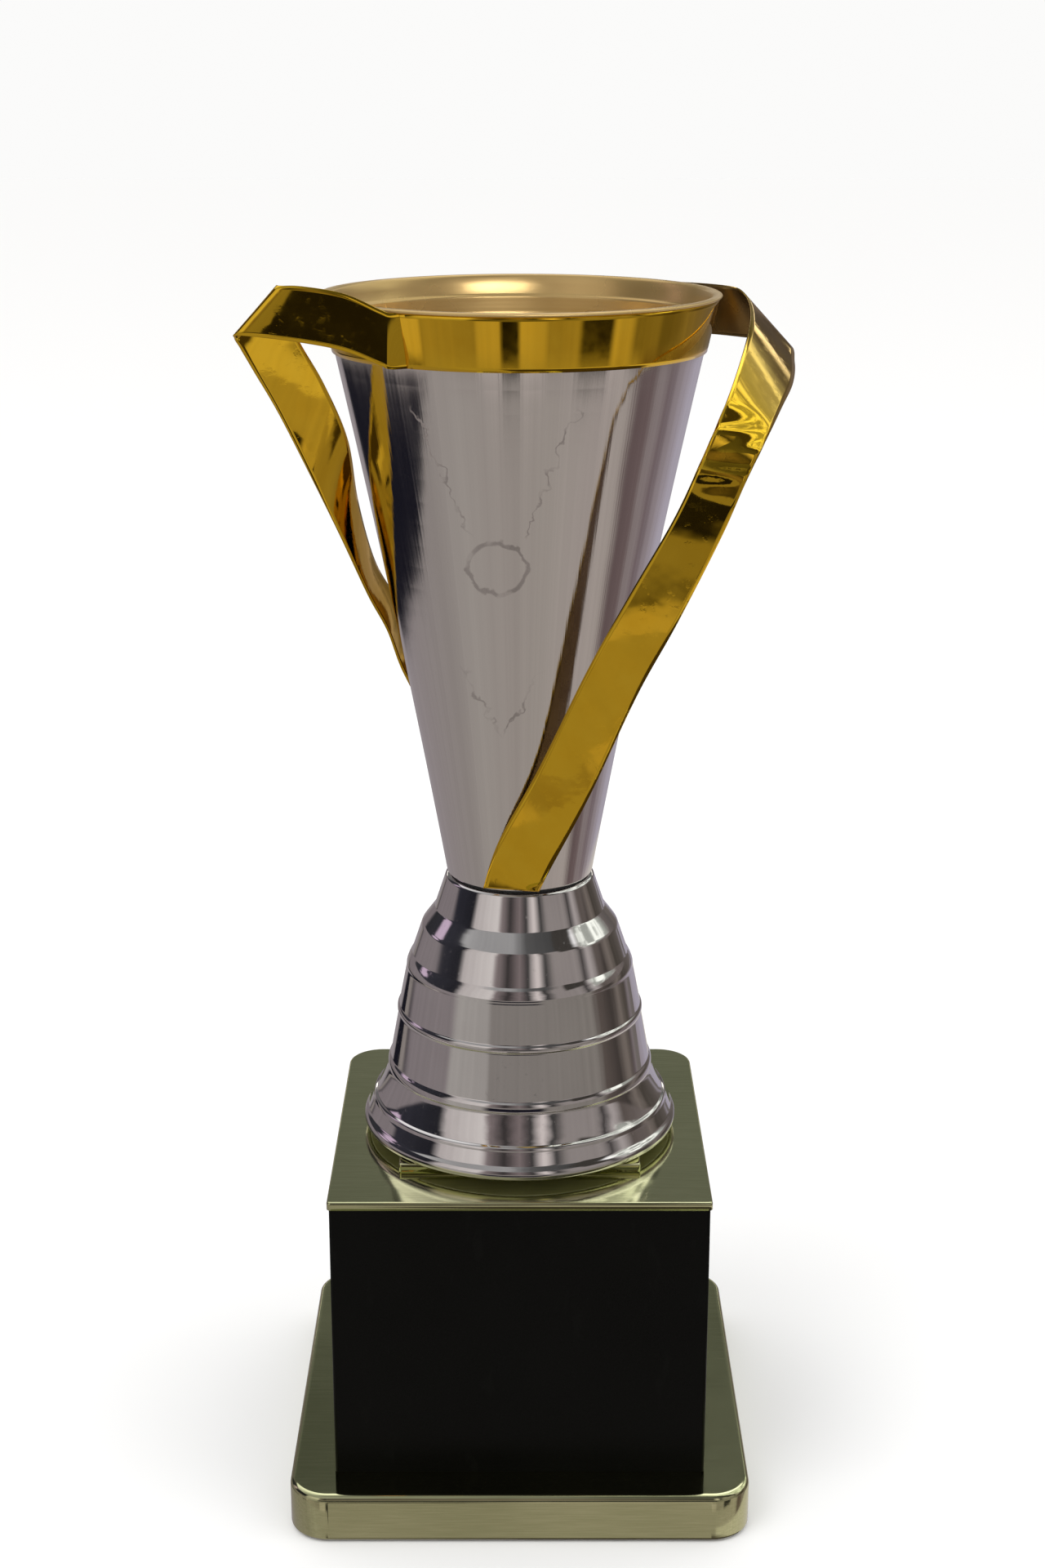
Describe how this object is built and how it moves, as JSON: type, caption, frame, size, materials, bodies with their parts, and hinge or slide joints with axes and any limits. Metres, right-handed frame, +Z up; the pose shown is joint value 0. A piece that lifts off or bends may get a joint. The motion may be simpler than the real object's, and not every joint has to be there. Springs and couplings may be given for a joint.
{
  "type": "cup trophy",
  "caption": "Conical silver cup with a gold inside and two folded gold strip handles, on a stepped chrome bell and a black square plinth between gold plates.",
  "frame": {"origin": "on the cup's axis, at the underside of the felt that the trophy stands on", "axes": "+Z up along the cup's axis; -Y towards the plinth's front face, the one with sharp upright edges; +X to the right seen from the front"},
  "size_m": [0.1254, 0.111, 0.2952],
  "materials": {
    "felt": "short green-black baize",
    "board": "pressed hardboard",
    "zinc": "zinc-plated steel",
    "gold_tray": "metallised gold skin on moulded plastic",
    "gold_plate": "gold anodised sheet, polished, with a fine brushed grain",
    "cast_ballast": "rough cast weight",
    "black_plastic": "black, half gloss, finely textured",
    "chrome": "bright metallised skin on moulded plastic",
    "white_plastic": "white moulded plastic",
    "rubber": "black soft ring",
    "silver": "bright silver finish with faint upright streaks",
    "gold_satin": "satin gold inside",
    "gold_mirror": "mirror gold anodised strip"
  },
  "bodies": {
    "root": {"felt_pad": "felt", "base_board": "board", "board_screws": "zinc", "lower_plate": "gold_tray", "ballast_block": "cast_ballast", "column_shell": "black_plastic", "top_plate": "gold_plate", "riser_pad": "gold_plate", "riser_bell": "chrome", "riser_floor": "white_plastic", "riser_sleeve": "white_plastic", "neck_gasket": "rubber", "cup_shell": "silver", "bowl_liner": "gold_satin", "tie_rod": "zinc", "lower_washer": "zinc", "upper_washer": "zinc", "upper_nut": "zinc", "lower_nut": "zinc", "spring_washer": "zinc", "front_leg_strip": "gold_mirror", "back_leg_strip": "gold_mirror"}
  },
  "joints": []
}
